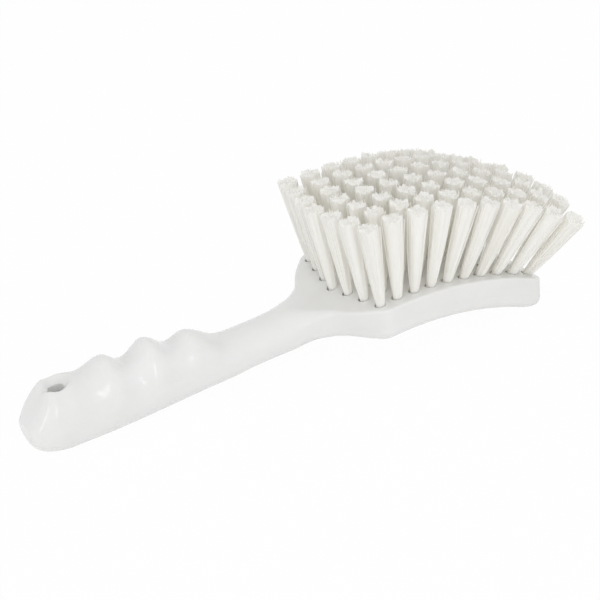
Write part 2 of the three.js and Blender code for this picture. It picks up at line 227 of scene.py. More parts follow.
@dataclass(frozen=True)
class Handle:
    """Sizes of the handle and its neck."""

    length: float = 172.0
    palm_top: float = 34.9
    palm_width: float = 29.0
    crest_rise: float = 3.1
    last_crest_drop: float = 0.8
    grip_pitch: float = 22.2
    first_groove: float = 30.8
    groove_depths: tuple[float, ...] = (2.8, 6.8, 6.0)
    groove_wrap: float = 0.45
    neck_top: float = 25.7
    neck_bottom: float = 6.0
    neck_width: float = 25.4
    neck_to_head: float = 56.0
    neck_flare: float = 20.0
    butt_round: float = 17.0
    butt_flat: float = 13.0
    butt_rise: float = 11.0
    facet_foot: float = 17.2
    facet_slope: float = 1.3
    facet_edge: float = 2.2
    facet_end: float = -20.0
    hole_from_butt: float = 18.3
    hole_radius: float = 3.95
    mouth_radius: float = 7.8
    funnel_depth: float = 5.0
    lip_softness: float = 0.02
    throat_overshoot: float = 1.15
    foot_break: float = 2.2
    foot_break_height: float = 3.6
    butt_square: float = 0.42


@dataclass(frozen=True)
class Head:
    """Sizes of the arched head."""

    width: float = 82.0
    thickness: float = 17.0
    tip: float = 93.3
    tip_bulge: float = 3.0
    tip_run: float = 13.0
    crown: float = 31.1
    crown_x: float = 16.0
    face_radius: float = 190.0
    corner_x: float = -2.0
    shoulder_sweep: float = 18.0
    shoulder_bulge: float = 2.4
    shoulder_corner: float = 5.0
    tip_corner: float = 6.0
    face_edge: float = 1.1
    back_edge: float = 5.0
    rest_blend: float = 2.0
    neck_blend: float = 3.0


@dataclass(frozen=True)
class Field:
    """Layout, lean and size of the tufts."""

    rows: int = 7
    columns: int = 10
    to_side: float = 8.0
    to_tip: float = 5.3
    rear_chevron: float = 7.0
    tip_chevron: float = 4.0
    bristle_length: float = 44.5
    rear_lean: float = -4.6
    tip_lean: float = 31.0
    corner_lean_drop: float = 13.0
    rear_splay: float = 2.0
    tip_splay: float = 35.0
    splay_growth: float = 1.5
    rear_drift: float = 2.2
    side_drift: float = 3.0
    hole_radius: float = 2.75
    hole_depth: float = 11.0
    gap: float = 0.35
    anchor_length: float = 5.6
    anchor_height: float = 2.0
    anchor_thickness: float = 0.45
    fold_thickness: float = 1.1


class Shape:
    """Curves of the moulding, worked out from its sizes."""

    def __init__(self, handle: Handle, head: Head) -> None:
        """Lay the curves out.

        Args:
            handle: Sizes of the handle.
            head: Sizes of the head.
        """
        self.handle = handle
        self.head = head
        self.butt = -handle.length
        self.neck = -handle.neck_to_head
        self.crest = self.butt + handle.first_groove + 1.5 * handle.grip_pitch
        self.hole = self.butt + handle.hole_from_butt
        palm, neck = handle.palm_width / 2, handle.neck_width / 2
        self.crests = Profile([
            (self.butt, handle.palm_top - handle.last_crest_drop),
            (self.along(0.14), handle.palm_top),
            (self.crest, handle.palm_top + handle.crest_rise),
            (self.crest + handle.grip_pitch, handle.palm_top - handle.last_crest_drop),
            (self.along(0.87), handle.neck_top + 0.5),
            (self.neck, handle.neck_top),
            (self.neck * 0.62, 0.7 * handle.neck_top + 0.3 * float(self.face(0.0))),
            (self.neck * 0.36, float(self.face(self.neck * 0.36)) - 0.6),
            (0.0, float(self.face(0.0))),
        ])
        self.belly = Profile([
            (self.butt, 0.0),
            (self.along(0.2), 0.0),
            (self.along(0.42), handle.neck_bottom * 0.1),
            (self.along(0.78), handle.neck_bottom * 0.6),
            (self.neck, handle.neck_bottom),
            (self.neck * 0.66, handle.neck_bottom + 1.0),
            (self.neck * 0.42, 0.4 * handle.neck_bottom + 0.6 * float(self.back(0.0))),
            (self.neck * 0.14, float(self.back(self.neck * 0.14))),
            (0.0, float(self.back(0.0))),
        ])
        self.neck_half = Profile([
            (self.butt, palm),
            (self.crest, palm),
            (self.neck, neck),
            (self.neck * 0.6, neck + 0.5),
            (self.neck * 0.46, neck + handle.neck_flare * 0.09),
            (self.neck * 0.34, neck + handle.neck_flare * 0.28),
            (self.neck * 0.21, neck + handle.neck_flare * 0.6),
            (0.0, neck + handle.neck_flare * 0.9),
        ])
        self.plan_at_face = self.head_plan(head.shoulder_bulge)
        self.plan_at_back = self.head_plan(0.0)

    def along(self, share: float) -> float:
        """Give the x at a share of the way from the butt to the neck."""
        return self.butt + (self.neck - self.butt) * share

    def arc(self, x: np.ndarray | float, radius: float) -> np.ndarray:
        """Give the height of an arc about the head's centre of curvature."""
        head = self.head
        across = np.asarray(x, float) - head.crown_x
        return head.crown - head.face_radius + np.sqrt(np.maximum(radius**2 - across**2, 0.0))

    def face(self, x: np.ndarray | float) -> np.ndarray:
        """Give the height of the face that holds the tufts."""
        return self.arc(x, self.head.face_radius)

    def back(self, x: np.ndarray | float) -> np.ndarray:
        """Give the height of the back, flattened where the tip rests."""
        head = self.head
        return rounded_max(self.arc(x, head.face_radius - head.thickness), 0.0, head.rest_blend)

    def head_plan(self, bulge: float) -> np.ndarray:
        """Outline the head's rear edge and corner, as rows of x and half width.

        Args:
            bulge: How far the rear edge bows out.

        Returns:
            The points, in order of x.
        """
        head = self.head
        side = head.width / 2
        start = np.array([head.corner_x - head.shoulder_sweep, self.handle.neck_width / 2 - 2.0])
        corner = np.array([head.corner_x, side])
        sweep = (corner - start) / np.linalg.norm(corner - start)
        before = corner - sweep * head.shoulder_corner
        after = corner + np.array([head.shoulder_corner, 0.0])
        bow = (start + before) / 2 + np.array([-sweep[1], sweep[0]]) * 2.0 * bulge
        share = np.linspace(0.0, 1.0, 25)[:, None]

        def bend(first: np.ndarray, pull: np.ndarray, last: np.ndarray) -> np.ndarray:
            """Run from first to last, pulled towards a point between them."""
            return (1 - share) ** 2 * first + 2 * share * (1 - share) * pull + share**2 * last

        run_in = start - sweep * side
        return np.vstack([run_in, bend(start, bow, before), bend(before, corner, after)])

    def half_width(self, x: np.ndarray, plan: np.ndarray) -> np.ndarray:
        """Give the half width of handle and head together at x."""
        outline = np.interp(x, plan[:, 0], plan[:, 1])
        neck = np.minimum(self.neck_half(x), self.head.width / 2)
        wide = rounded_max(outline, neck, self.head.neck_blend)
        tip = quarter_drop(np.clip(self.head.tip - x, 0.0, None), self.head.tip_corner)
        return np.minimum(wide, self.head.width / 2) - tip

    def groove(self, x: np.ndarray) -> np.ndarray:
        """Give the depth of the finger grooves at x."""
        handle = self.handle
        depth = np.zeros_like(x)
        for number, deepest in enumerate(handle.groove_depths):
            middle = self.butt + handle.first_groove + number * handle.grip_pitch
            away = np.clip(np.abs(x - middle) / handle.grip_pitch, 0.0, 0.5)
            depth += deepest * np.cos(math.pi * away) ** 2
        return depth


@dataclass
class Place:
    """Where the frame has the brush."""

    shift: float

    def to_frame(self, points: np.ndarray) -> np.ndarray:
        """Turn millimetres about the shaping origin into metres in the frame."""
        return (points + np.array([self.shift, 0.0, 0.0])) * MM


# ---------------------------------------------------------------- tufts' frames


@dataclass(frozen=True)
class Tuft:
    """One tuft: its number, its foot on the face and its own axes."""

    row: int
    column: int
    foot: np.ndarray
    across: np.ndarray
    anchor_way: np.ndarray
    axis: np.ndarray
    drift: np.ndarray
    length: float

    def world(self, local: np.ndarray) -> np.ndarray:
        """Turn rows of local x, y, z into the shaping frame, with the free length's outward set."""
        risen = np.clip(local[:, 2:] / self.length, 0.0, 1.0) ** 1.2
        axes = np.array([self.across, self.anchor_way, self.axis])
        return self.foot + local @ axes + risen * self.drift


def lay_out_tufts(shape: Shape, field_: Field) -> list[Tuft]:
    """Place every tuft on the face.

    Args:
        shape: The moulding's curves.
        field_: Layout of the tufts.

    Returns:
        The tufts, row by row.
    """
    tufts = []
    half = shape.head.width / 2 - field_.to_side
    length = shape.head.tip - field_.to_tip
    for row in range(field_.rows):
        side = 2.0 * row / (field_.rows - 1) - 1.0
        for column in range(field_.columns):
            share = column / (field_.columns - 1)
            inward = 1.0 - abs(side)
            start = -field_.rear_chevron * inward
            end = length + field_.tip_chevron * inward
            x = start + (end - start) * share
            late = max(0.0, 2.0 * share - 1.0)
            lean = field_.rear_lean + (field_.tip_lean - field_.rear_lean) * share
            lean -= field_.corner_lean_drop * side**2 * late
            spread = field_.tip_splay - field_.rear_splay
            splay = side * (field_.rear_splay + spread * share**field_.splay_growth)
            axis = np.array([math.tan(math.radians(lean)), math.tan(math.radians(splay)), 1.0])
            axis /= np.linalg.norm(axis)
            anchor_way = np.array([0.0, 1.0, 0.0]) - axis * axis[1]
            anchor_way /= np.linalg.norm(anchor_way)
            across = np.cross(anchor_way, axis)
            foot = np.array([x, side * half, float(shape.face(x))])
            drift = np.array([-field_.rear_drift, side * field_.side_drift, 0.0])
            drift *= (1.0 - share) ** 3
            tufts.append(Tuft(
                row, column, foot, across, anchor_way, axis, drift, field_.bristle_length
            ))
    return tufts


# ---------------------------------------------------------------- finishes


class Nodes:
    """Short ways to add and join nodes in one node tree."""

    def __init__(self, tree: bpy.types.NodeTree) -> None:
        """Keep the tree that the nodes go into."""
        self.tree = tree

    def add(self, kind: str, **values: object) -> bpy.types.Node:
        """Add a node and set its sockets or its properties by name.

        Args:
            kind: The node's class name.
            **values: Socket values, with spaces written as underscores, or node properties.

        Returns:
            The node.
        """
        node = self.tree.nodes.new(kind)
        for name, value in values.items():
            socket = node.inputs.get(name.replace("_", " "))
            if socket is not None:
                socket.default_value = value
            else:
                setattr(node, name, value)
        return node

    def join(
        self, start: bpy.types.Node, out: str | int, end: bpy.types.Node, into: str | int
    ) -> None:
        """Link one node's output to another's input, each by name or number."""
        self.tree.links.new(start.outputs[out], end.inputs[into])


def open_group(name: str, inputs: dict[str, tuple[str, object]], outputs: dict[str, str]) -> Nodes:
    """Start a shader node group with named sockets.

    Args:
        name: The group's name.
        inputs: Socket types and starting values by name.
        outputs: Socket types by name.

    Returns:
        The group's nodes.
    """
    tree = bpy.data.node_groups.new(name, "ShaderNodeTree")
    for label, (kind, value) in inputs.items():
        socket = tree.interface.new_socket(name=label, in_out="INPUT", socket_type=kind)
        socket.default_value = value
    for label, kind in outputs.items():
        tree.interface.new_socket(name=label, in_out="OUTPUT", socket_type=kind)
    return Nodes(tree)


def mottle_group() -> bpy.types.NodeTree:
    """Build the group that clouds a colour faintly, as a moulding's flow does."""
    nodes = open_group(
        "mottle",
        {
            "Vector": ("NodeSocketVector", (0.0, 0.0, 0.0)),
            "Light Colour": ("NodeSocketColor", (0.8, 0.8, 0.8, 1.0)),
            "Deep Colour": ("NodeSocketColor", (0.75, 0.75, 0.75, 1.0)),
            "Scale": ("NodeSocketFloat", 60.0),
        },
        {"Colour": "NodeSocketColor", "Mask": "NodeSocketFloat"},
    )
    source = nodes.add("NodeGroupInput")
    target = nodes.add("NodeGroupOutput")
    cloud = nodes.add("ShaderNodeTexNoise", Detail=4.0, Roughness=0.55)
    spread = nodes.add("ShaderNodeMapRange", From_Min=0.3, From_Max=0.7)
    mix = nodes.add("ShaderNodeMix", data_type="RGBA")
    nodes.join(source, "Vector", cloud, "Vector")
    nodes.join(source, "Scale", cloud, "Scale")
    nodes.join(cloud, 0, spread, "Value")
    nodes.join(spread, "Result", mix, 0)
    nodes.join(source, "Light Colour", mix, 6)
    nodes.join(source, "Deep Colour", mix, 7)
    nodes.join(mix, 2, target, "Colour")
    nodes.join(spread, "Result", target, "Mask")
    return nodes.tree


def scuff_group() -> bpy.types.NodeTree:
    """Build the group of fine long scuffs, which gives a mask and a normal."""
    nodes = open_group(
        "scuffs",
        {
            "Vector": ("NodeSocketVector", (0.0, 0.0, 0.0)),
            "Scale": ("NodeSocketFloat", 300.0),
            "Stretch": ("NodeSocketVector", (0.1, 1.0, 1.0)),
            "Strength": ("NodeSocketFloat", 0.05),
            "Distance": ("NodeSocketFloat", 0.0002),
        },
        {"Mask": "NodeSocketFloat", "Normal": "NodeSocketVector"},
    )
    source = nodes.add("NodeGroupInput")
    target = nodes.add("NodeGroupOutput")
    stretch = nodes.add("ShaderNodeVectorMath", operation="MULTIPLY")
    grain = nodes.add("ShaderNodeTexNoise", Detail=6.0, Roughness=0.6)
    thin = nodes.add("ShaderNodeMapRange", From_Min=0.45, From_Max=0.7)
    bump = nodes.add("ShaderNodeBump")
    nodes.join(source, "Vector", stretch, 0)
    nodes.join(source, "Stretch", stretch, 1)
    nodes.join(stretch, 0, grain, "Vector")
    nodes.join(source, "Scale", grain, "Scale")
    nodes.join(grain, 0, thin, "Value")
    nodes.join(thin, "Result", bump, "Height")
    nodes.join(source, "Strength", bump, "Strength")
    nodes.join(source, "Distance", bump, "Distance")
    nodes.join(thin, "Result", target, "Mask")
    nodes.join(bump, "Normal", target, "Normal")
    return nodes.tree


@dataclass
class Effects:
    """The node groups that the finishes share."""

    mottle: bpy.types.NodeTree
    scuffs: bpy.types.NodeTree

    def place(self, nodes: Nodes, tree: bpy.types.NodeTree, **values: object) -> bpy.types.Node:
        """Put a group into a material with its own values, on Object coordinates.

        Args:
            nodes: The material's nodes.
            tree: The group.
            **values: The group's input values.

        Returns:
            The group node.
        """
        group = nodes.add("ShaderNodeGroup")
        group.node_tree = tree
        for name, value in values.items():
            group.inputs[name.replace("_", " ")].default_value = value
        where = nodes.add("ShaderNodeTexCoord")
        nodes.join(where, "Object", group, "Vector")
        return group


def start_material(name: str) -> tuple[bpy.types.Material, Nodes, bpy.types.Node]:
    """Make a material and give it, its nodes and its shader."""
    material = bpy.data.materials.new(name)
    material.use_nodes = True
    return material, Nodes(material.node_tree), material.node_tree.nodes["Principled BSDF"]


@dataclass(frozen=True)
class Finish:
    """A finish: two near colours that cloud together, and fine marks that dull its gloss."""

    name: str
    light: Colour
    deep: Colour
    cloud_scale: float
    mark_scale: float
    mark_stretch: Triple
    mark_strength: float
    mark_depth: float
    smooth: float
    dull: float

    def constants(self) -> dict[str, object]:
        """Give the shader values that are the same all over."""
        return {}

    def colour_and_normal(
        self, nodes: Nodes, clouds: bpy.types.Node, marks: bpy.types.Node, shader: bpy.types.Node
    ) -> None:
        """Join the clouds' colour and the marks' normal to the shader.

        Args:
            nodes: The material's nodes.
            clouds: The mottle group.
            marks: The scuff group.
            shader: The material's shader.
        """
        nodes.join(clouds, "Colour", shader, "Base Color")
        nodes.join(marks, "Normal", shader, "Normal")

    def build(self, effects: Effects) -> bpy.types.Material:
        """Build the material.

        Args:
            effects: The shared groups.

        Returns:
            The material.
        """
        material, nodes, shader = start_material(self.name)
        clouds = effects.place(
            nodes, effects.mottle, Light_Colour=self.light, Deep_Colour=self.deep,
            Scale=self.cloud_scale,
        )
        marks = effects.place(
            nodes, effects.scuffs, Scale=self.mark_scale, Stretch=self.mark_stretch,
            Strength=self.mark_strength, Distance=self.mark_depth,
        )
        rough = nodes.add("ShaderNodeMapRange", To_Min=self.smooth, To_Max=self.dull)
        nodes.join(marks, "Mask", rough, "Value")
        nodes.join(rough, "Result", shader, "Roughness")
        self.colour_and_normal(nodes, clouds, marks, shader)
        for socket, value in self.constants().items():
            shader.inputs[socket].default_value = value
        return material


@dataclass(frozen=True)
class MouldedPlastic(Finish):
    """Satin white polypropylene with flow clouds, handling scuffs and a parting line."""

    name: str = "moulded_plastic"
    light: Colour = (0.872, 0.872, 0.864, 1.0)
    deep: Colour = (0.842, 0.842, 0.83, 1.0)
    cloud_scale: float = 45.0
    mark_scale: float = 700.0
    mark_stretch: Triple = (0.25, 1.0, 1.0)
    mark_strength: float = 0.02
    mark_depth: float = 0.000002
    smooth: float = 0.17
    dull: float = 0.22
    line_height: float = 0.00012

    def constants(self) -> dict[str, object]:
        """Give the plastic's gloss and the little light that it passes on."""
        return {
            "IOR": 1.49,
            "Subsurface Weight": 0.25,
            "Subsurface Radius": (1.0, 0.95, 0.85),
            "Subsurface Scale": 0.0025,
        }

    def colour_and_normal(
        self, nodes: Nodes, clouds: bpy.types.Node, marks: bpy.types.Node, shader: bpy.types.Node
    ) -> None:
        """Raise the parting line over the scuffs."""
        line = nodes.add("ShaderNodeAttribute", attribute_name="parting")
        raised = nodes.add("ShaderNodeBump", Strength=0.5, Distance=self.line_height)
        nodes.join(clouds, "Colour", shader, "Base Color")
        nodes.join(line, "Fac", raised, "Height")
        nodes.join(marks, "Normal", raised, "Normal")
        nodes.join(raised, "Normal", shader, "Normal")


@dataclass(frozen=True)
class Filament(Finish):
    """Warm white nylon bristle, each filament a little lighter or darker."""

    name: str = "filament"
    light: Colour = (0.955, 0.947, 0.912, 1.0)
    deep: Colour = (0.928, 0.917, 0.872, 1.0)
    cloud_scale: float = 160.0
    mark_scale: float = 900.0
    mark_stretch: Triple = (1.0, 1.0, 0.15)
    mark_strength: float = 0.1
    mark_depth: float = 0.00002
    smooth: float = 0.34
    dull: float = 0.5

    def constants(self) -> dict[str, object]:
        """Give the filament's gloss and its sheen."""
        return {"IOR": 1.53, "Sheen Weight": 0.35, "Sheen Roughness": 0.5}

    def colour_and_normal(
        self, nodes: Nodes, clouds: bpy.types.Node, marks: bpy.types.Node, shader: bpy.types.Node
    ) -> None:
        """Bring each filament's clouds towards the light colour by its own tone."""
        tone = nodes.add("ShaderNodeAttribute", attribute_name="tone")
        mix = nodes.add("ShaderNodeMix", data_type="RGBA")
        mix.inputs[7].default_value = self.light
        nodes.join(tone, "Fac", mix, 0)
        nodes.join(clouds, "Colour", mix, 6)
        nodes.join(mix, 2, shader, "Base Color")
        nodes.join(marks, "Normal", shader, "Normal")


@dataclass(frozen=True)
class DrawnSteel(Finish):
    """Flat bright wire with draw marks along it."""

    name: str = "drawn_steel"
    light: Colour = (0.62, 0.63, 0.65, 1.0)
    deep: Colour = (0.5, 0.51, 0.53, 1.0)
    cloud_scale: float = 300.0
    mark_scale: float = 2500.0
    mark_stretch: Triple = (1.0, 0.05, 1.0)
    mark_strength: float = 0.25
    mark_depth: float = 0.00003
    smooth: float = 0.25
    dull: float = 0.45

    def constants(self) -> dict[str, object]:
        """Make it metal all over."""
        return {"Metallic": 1.0}


@dataclass
class Finishes:
    """The built materials."""

    moulding: bpy.types.Material
    bristle: bpy.types.Material
    wire: bpy.types.Material

    @classmethod
    def build(cls) -> Finishes:
        """Build the shared groups and every material."""
        effects = Effects(mottle_group(), scuff_group())
        return cls(
            MouldedPlastic().build(effects),
            Filament().build(effects),
            DrawnSteel().build(effects),
        )


# ---------------------------------------------------------------- mesh building


class Way(Enum):
    """The directions that a box's edges can be cut along."""

    ALONG = 0
    ACROSS = 1
    UP = 2


def cut_edges(piece: bpy.types.Object, way: Way, cuts: int) -> None:
    """Subdivide every edge that runs one way.

    Args:
        piece: A mesh made of boxes square to the axes.
        way: The direction.
        cuts: Cuts on each edge.
    """
    make_active(piece)
    with edit_mode():
        bpy.ops.mesh.select_mode(type="EDGE")
        bpy.ops.mesh.select_all(action="DESELECT")
    mesh = piece.data
    points = read_points(piece)
    ends = np.empty(len(mesh.edges) * 2, int)
    mesh.edges.foreach_get("vertices", ends)
    ends = ends.reshape(-1, 2)
    run = np.abs(points[ends[:, 0]] - points[ends[:, 1]])
    mesh.edges.foreach_set("select", run[:, way.value] > run.sum(axis=1) * 0.5)
    with edit_mode():
        bpy.ops.mesh.subdivide(number_cuts=cuts)


def face_outwards(piece: bpy.types.Object) -> None:
    """Recalculate a closed shell's normals."""
    make_active(piece)
    with edit_mode():
        bpy.ops.mesh.select_all(action="SELECT")
        bpy.ops.mesh.normals_make_consistent(inside=False)


def dress(piece: bpy.types.Object, material: bpy.types.Material, angle: float) -> None:
    """Give a piece its material and smooth shading up to an angle, in degrees."""
    piece.data.materials.clear()
    piece.data.materials.append(material)
    make_active(piece)
    bpy.ops.object.shade_smooth_by_angle(angle=math.radians(angle))
    deselect()


# ---------------------------------------------------------------- moulding


@dataclass
class Edge:
    """The rounded edge along the top or the foot of the moulding's flanks.

    level is the height of the top or underside, wide its half width, reach and drop how far the
    rounding takes from each, and way 1 for the top and -1 for the underside.
    """

    level: np.ndarray
    wide: np.ndarray
    reach: np.ndarray
    drop: np.ndarray
    way: float

    def fade(self, radius: float, end: np.ndarray, share: float) -> None:
        """Fade the edge into the tip's rounded wall.

        Args:
            radius: The edge's radius on the head.
            end: How far the tip's rounding has taken the level down.
            share: Share of the edge that goes.
        """
        self.level = self.level - self.way * end
        left = 1.0 - share * end / radius
        self.reach, self.drop = self.reach * left, self.drop * left

    def at(self, ring: np.ndarray) -> Edge:
        """Give the edge at each point's ring."""
        return Edge(self.level[ring], self.wide[ring], self.reach[ring], self.drop[ring], self.way)

    def side(self, share: np.ndarray) -> tuple[np.ndarray, np.ndarray]:
        """Lay points on the top or underside, flat part or rounded corner.

        Args:
            share: From -1 to 1 across.

        Returns:
            The place across and the height.
        """
        reach = np.minimum(self.reach, self.wide)
        flat = self.wide - reach
        arc = ARC_LENGTH * (0.5 * (reach + self.drop) + 1e-6)
        bend = np.clip(flat / (flat + arc), 0.0, 0.87)
        past = np.clip((np.abs(share) - bend) / (1.0 - bend), 0.0, 1.0)
        angle = past * MITRE
        inner = np.clip(np.abs(share) / np.maximum(bend, 1e-6), 0.0, 1.0)
        away = np.where(past > 0.0, flat + reach * np.sin(angle), flat * inner)
        return np.sign(share) * away, self.level - self.way * (self.drop * (1.0 - np.cos(angle)))

    def mitre(self) -> tuple[np.ndarray, np.ndarray]:
        """Give the place across and the height where the two halves of the rounding meet."""
        fall = 1.0 - math.cos(MITRE)
        across = self.wide - np.minimum(self.reach, self.wide) * fall
        return across, self.level - self.way * (self.drop * fall)

    def flank(self) -> np.ndarray:
        """Give the height where the straight flank starts."""
        return self.level - self.way * self.drop

    def length(self) -> np.ndarray:
        """Give about half the rounding's length."""
        return ARC_LENGTH * 0.5 * (self.drop + self.reach)


@dataclass
class Moulding:
    """The one-piece handle, neck and head, with its hanging hole and tuft holes."""

    shape: Shape
    place: Place
    tufts: list[Tuft]
    layout: Field
    across: int = 64
    up: int = 28
    butt_rings: int = 28
    grip_rings: int = 107
    neck_rings: int = 30
    shoulder_rings: int = 55
    field_rings: int = 48
    tip_rings: int = 26
    shoulder: tuple[float, float] = (-22.0, 6.0)
    bore: tuple[float, float] = (-2.0, 34.0)
    steepest: float = 8.0

    def stations(self) -> np.ndarray:
        """Give the x of each ring, closer together where the shape turns faster."""
        shape, handle, head = self.shape, self.shape.handle, self.shape.head
        start, end = self.shoulder
        butt_end = shape.butt + handle.butt_round
        closing = 1.0 - np.linspace(0.0, 1.0, self.tip_rings)
        runs = [
            shape.butt + handle.butt_round * np.linspace(0.0, 1.0, self.butt_rings) ** 2,
            np.linspace(butt_end, shape.neck, self.grip_rings)[1:],
            np.linspace(shape.neck, start, self.neck_rings)[1:],
            np.linspace(start, end, self.shoulder_rings)[1:],
            np.linspace(end, head.tip - head.tip_run, self.field_rings)[1:],
            (head.tip - head.tip_run * closing**2.2)[1:],
        ]
        return np.concatenate(runs)

    def blank(self, rings: int) -> bpy.types.Object:
        """Cut a cube into the grid that the rings are laid on.

        Args:
            rings: Number of rings, one more than a product of two cuts.

        Returns:
            The cube, from -1 to 1 each way.
        """
        deselect()
        bpy.ops.mesh.primitive_cube_add(size=2.0)
        piece = bpy.context.object
        cut_edges(piece, Way.ACROSS, self.across - 1)
        cut_edges(piece, Way.UP, self.up - 1)
        first = next(n for n in range(20, 10, -1) if (rings - 1) % n == 0)
        cut_edges(piece, Way.ALONG, first - 1)
        cut_edges(piece, Way.ALONG, (rings - 1) // first - 1)
        return piece

    def edges(self, xs: np.ndarray) -> tuple[Edge, Edge, np.ndarray, np.ndarray]:
        """Measure every ring.

        Args:
            xs: The rings' places.

        Returns:
            The top and the lower edge, and each section's middle height and half height.
        """
        shape, handle, head = self.shape, self.shape.handle, self.shape.head
        from_butt = xs - shape.butt
        blunt = np.clip(1.0 - from_butt / handle.butt_round, 0.0, 1.0)
        rounding = 1.0 - np.sqrt(1.0 - blunt**2)
        facet = handle.facet_foot + handle.facet_slope * from_butt
        crest = shape.crests(xs)
        on_head = smoothstep(xs, shape.neck * 0.3, shape.neck * 0.02)
        top = np.where(xs < handle.facet_end, rounded_min(crest, facet, handle.facet_edge), crest)
        top = top * (1.0 - on_head) + shape.face(xs) * on_head
        under = shape.belly(xs) * (1.0 - on_head) + shape.back(xs) * on_head
        bottom = under + handle.butt_rise * rounding
        middle = (np.minimum(top, crest) + bottom) / 2.0
        tall = (top - bottom) / 2.0

        def width(plan: np.ndarray) -> np.ndarray:
            """Give the half width at one outline, drawn in at the butt."""
            wide = shape.half_width(xs, plan)
            return wide + (handle.butt_flat / 2.0 - wide) * rounding

        wide_top, wide_bottom = width(shape.plan_at_face), width(shape.plan_at_back)
        slant = np.sqrt(1.0 + np.minimum(np.gradient(wide_top, xs) ** 2, self.steepest))
        slant[xs > head.tip - head.tip_corner] = 1.0
        squared = smoothstep(xs, shape.neck * 0.75, shape.neck * 0.2)
        boxy = 1.0 - handle.butt_square * smoothstep(-from_butt, -handle.butt_round, -4.0)
        fullness = 0.89 + 0.11 * np.sqrt(blunt)

        def edge(
            level: np.ndarray, wide: np.ndarray, full: np.ndarray, radius: float, way: float
        ) -> Edge:
            """Round a level off, as on the grip or as on the head."""
            reach = wide * full * (1.0 - squared) + radius * slant * squared
            drop = tall * full * (1.0 - squared) + radius * squared
            return Edge(level, wide, reach, drop, way)

        upper = edge(top, wide_top, boxy, head.face_edge, 1.0)
        lower = edge(bottom, wide_bottom, fullness, head.back_edge, -1.0)
        to_tip = head.tip - xs
        upper.fade(head.face_edge, quarter_drop(to_tip, head.face_edge), 0.7)
        lower.fade(head.back_edge, quarter_drop(to_tip, head.back_edge), 0.8)
        return upper, lower, middle, tall

    def skin(self, piece: bpy.types.Object) -> None:
        """Move the blank's points onto the moulding's skin.

        Args:
            piece: The blank.
        """
        shape, handle, head = self.shape, self.shape.handle, self.shape.head
        unit = read_points(piece)
        xs = self.stations()
        ring = np.rint((unit[:, 0] + 1.0) / 2.0 * (len(xs) - 1)).astype(int)
        v, w = unit[:, 1], unit[:, 2]
        upper, lower, middle, tall = self.edges(xs)
        upper, lower = upper.at(ring), lower.at(ring)

        # The flank: the lower rounding, the straight part and the upper rounding.
        flank_top, flank_low = upper.flank(), lower.flank()
        whole = upper.length() + lower.length() + np.maximum(flank_top - flank_low, 0.0)
        level = (w + 1.0) / 2.0
        low_part = np.clip(lower.length() / whole, 0.13, 0.7)
        top_part = np.clip(upper.length() / whole, 0.13, 0.7)
        angle_low = np.clip(1.0 - level / low_part, 0.0, 1.0) * MITRE
        angle_top = np.clip((level - 1.0 + top_part) / top_part, 0.0, 1.0) * MITRE
        span = np.clip((level - low_part) / (1.0 - low_part - top_part), 0.0, 1.0)
        side_z = flank_low + (flank_top - flank_low) * span
        side_z = side_z - lower.drop * np.sin(angle_low) + upper.drop * np.sin(angle_top)
        side_y = lower.wide + (upper.wide - lower.wide) * span
        side_y = side_y - np.minimum(lower.reach, lower.wide) * (1.0 - np.cos(angle_low))
        side_y = side_y - np.minimum(upper.reach, upper.wide) * (1.0 - np.cos(angle_top))

        # The flanks, the top and the underside, joined as one patch.
        (top_y, high), (under_y, low) = upper.side(v), lower.side(v)
        (mitre_y_top, mitre_top), (mitre_y_low, mitre_low) = upper.mitre(), lower.mitre()
        y = (1.0 - level) * under_y + level * top_y + v * side_y
        y -= v * ((1.0 - level) * mitre_y_low + level * mitre_y_top)
        z = (1.0 - level) * low + level * high + side_z
        z -= (1.0 - level) * mitre_low + level * mitre_top

        # Finger grooves, which wrap round the flanks.
        groove = shape.groove(xs)[ring]
        rise = np.clip((z - middle[ring]) / tall[ring], -1.0, 1.0)
        wrap = smoothstep(rise, -0.8, 0.9)
        y *= 1.0 - groove * handle.groove_wrap * wrap / upper.wide
        z -= groove * wrap * np.maximum(0.0, rise) ** 2

        # The tip bows out, and its heights follow.
        x = xs[ring]
        bow = 1.0 - 0.88 * (y / (head.width / 2.0 - head.tip_corner)) ** 2
        forward = np.clip((x - (head.tip - head.tip_run)) / head.tip_run, 0.0, 1.0) ** 1.5
        moved = x + head.tip_bulge * np.clip(bow, 0.0, 1.0) * forward
        ahead_top = shape.face(moved) - shape.face(x)
        ahead_low = shape.back(moved) - shape.back(x)
        z += ahead_top * level + ahead_low * (1.0 - level)

        points = np.column_stack([moved, y, z])
        self.press_funnel(points, v, w)
        write_points(piece, self.place.to_frame(points))
        seam = np.exp(-(((np.abs(v) - 1.0) / 0.01) ** 2) - ((w + 0.12) / 0.04) ** 2)
        parting = piece.data.attributes.new("parting", "FLOAT", "POINT")
        parting.data.foreach_set("value", seam)

    def press_funnel(self, points: np.ndarray, v: np.ndarray, w: np.ndarray) -> None:
        """Press the hanging hole's funnel into the top, with a soft lip.

        Args:
            points: The skin's points, which are moved.
            v: Each point's place across the blank.
            w: Each point's place up the blank.
        """
        handle, shape = self.shape.handle, self.shape
        away = np.hypot(points[:, 0] - shape.hole, points[:, 1])
        reach = (handle.mouth_radius - away) / (handle.mouth_radius - handle.hole_radius)
        soft = 0.5 * (reach + np.sqrt(reach**2 + handle.lip_softness))
        depth = handle.funnel_depth * np.clip(soft, 0.0, handle.throat_overshoot)
        on_top = (w > 0.999) & (np.abs(v) < 0.999) & (away < handle.mouth_radius + 4.0)
        points[on_top, 2] -= depth[on_top]

